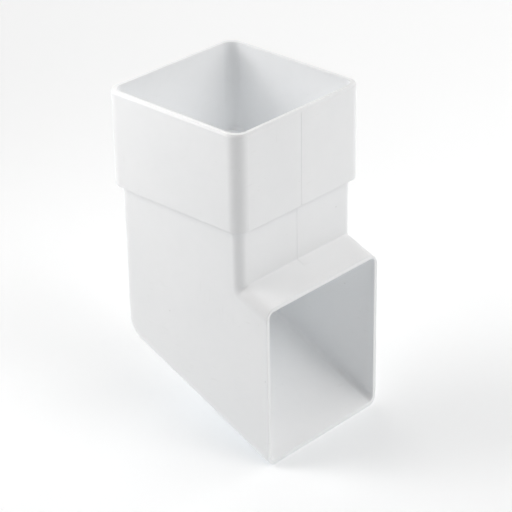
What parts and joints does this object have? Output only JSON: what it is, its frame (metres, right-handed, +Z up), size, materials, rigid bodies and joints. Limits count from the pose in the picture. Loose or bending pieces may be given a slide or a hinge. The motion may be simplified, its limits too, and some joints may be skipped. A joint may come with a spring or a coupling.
{
  "type": "downspout elbow",
  "caption": "Square discharge elbow for the foot of a downspout: a flared socket takes the pipe end, and a sloping floor under a short hood turns the water out through a square front mouth.",
  "frame": {"origin": "centre of the internal stop at the bottom of the socket, where the cut end of the downpipe lands", "axes": "+Z up along the downpipe and out of the socket, -Y out of the discharge mouth, +Y towards the wall, X across the width; the part is symmetric about X = 0"},
  "size_m": [0.07, 0.0809, 0.1396],
  "materials": {
    "white_upvc": "satin moulded white uPVC, smooth, with a faint parting line"
  },
  "bodies": {
    "root": {"shoe_moulding": "white_upvc"}
  },
  "joints": []
}
